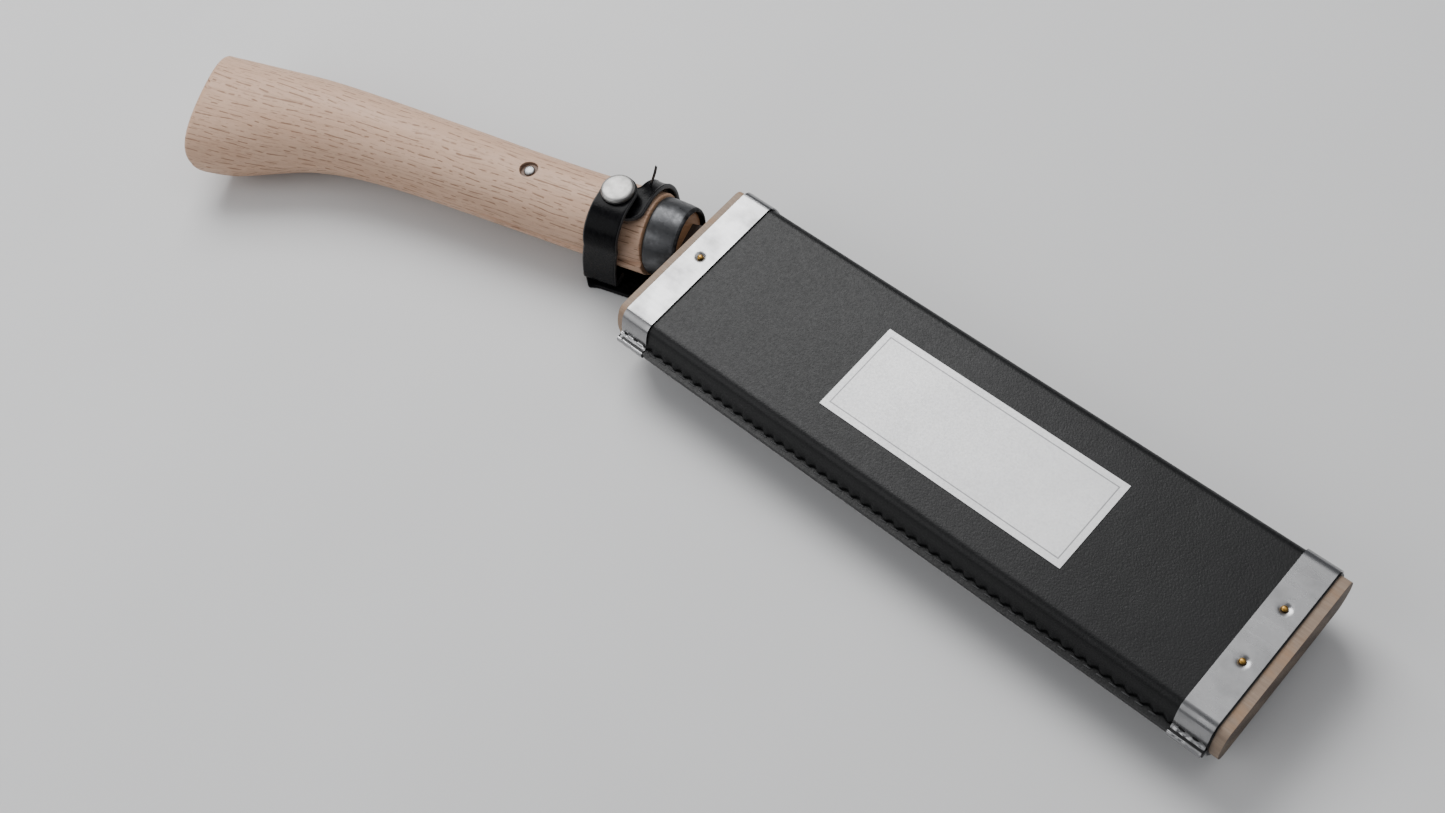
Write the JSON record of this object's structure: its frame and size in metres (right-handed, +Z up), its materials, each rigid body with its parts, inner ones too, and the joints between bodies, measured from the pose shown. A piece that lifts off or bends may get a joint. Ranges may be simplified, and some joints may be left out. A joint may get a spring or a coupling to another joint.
{
  "type": "sheathed hatchet",
  "caption": "Short straight-bladed woodsman's hatchet with a drooping oval wooden handle, held by a snapped strap in a flat covered sheath with metal bands and a belt loop.",
  "frame": {"origin": "below the middle of the sheath's mouth, on the plane that the belt loop and the handle's butt rest on", "axes": "+X from the sheath's mouth towards its tip, +Y towards the side of the blade's spine, +Z up through the sheath's front face"},
  "size_m": [0.3854, 0.0977, 0.037],
  "materials": {
    "blade_iron": "black forge scale",
    "edge_steel": "ground",
    "oak": "bare, sanded",
    "forged_iron": "black, satin",
    "rivet_steel": "satin",
    "sheath_wood": "bare, sanded",
    "black_cover": "fine grained, satin",
    "black_thread": "waxed",
    "band_metal": "satin",
    "brass": "satin",
    "label_silver": "matt",
    "black_leather": "glossy",
    "snap_metal": "satin nickel"
  },
  "bodies": {
    "sheath": {"sheath_wood_front": "sheath_wood", "sheath_wood_back": "sheath_wood", "sheath_cover": "black_cover", "seam_thread": "black_thread", "mouth_band": "band_metal", "tip_band": "band_metal", "mouth_band_nail": "brass", "tip_band_nails": "brass", "label_plate": "label_silver", "belt_loop": "black_leather", "belt_loop_rivets": "brass", "strap_base": "black_leather", "strap_rivets": "brass"},
    "knife": {"blade": "blade_iron", "edge_steel": "edge_steel", "handle": "oak", "ferrule": "forged_iron", "handle_rivet": "rivet_steel"},
    "near_arm": {"strap_near_arm": "black_leather"},
    "flap": {"strap_flap": "black_leather", "snap_cap": "snap_metal", "snap_socket": "snap_metal"},
    "far_arm": {"strap_far_arm": "black_leather", "snap_stud": "snap_metal", "thread_tail": "black_thread"}
  },
  "joints": [
    {"name": "knife_draw", "type": "slide", "parent": "sheath", "child": "knife", "axis": [-1, 0, 0], "range_m": [0, 0.195]},
    {"name": "near_arm_swing", "type": "hinge", "parent": "sheath", "child": "near_arm", "pos_m": [-0.01998, -0.01461, 0.0011], "axis": [0.9613, 0.2756, 0], "range_deg": [0, 95.5], "deforming": ["strap_near_arm"]},
    {"name": "far_arm_swing", "type": "hinge", "parent": "sheath", "child": "far_arm", "pos_m": [-0.02869, 0.01577, 0.0011], "axis": [-0.9613, -0.2756, 0], "range_deg": [0, 95.5], "deforming": ["strap_far_arm"]},
    {"name": "snap_flap_lift", "type": "hinge", "parent": "near_arm", "child": "flap", "pos_m": [-0.02029, -0.01355, 0.0221], "axis": [0.9613, 0.2756, 0], "range_deg": [0, 85], "deforming": ["strap_flap", "snap_socket"]}
  ],
  "couplings": [
    {"joint": "near_arm_swing", "follows": "knife_draw", "rad_per_m": 8.5029},
    {"joint": "far_arm_swing", "follows": "knife_draw", "rad_per_m": 8.5029}
  ]
}
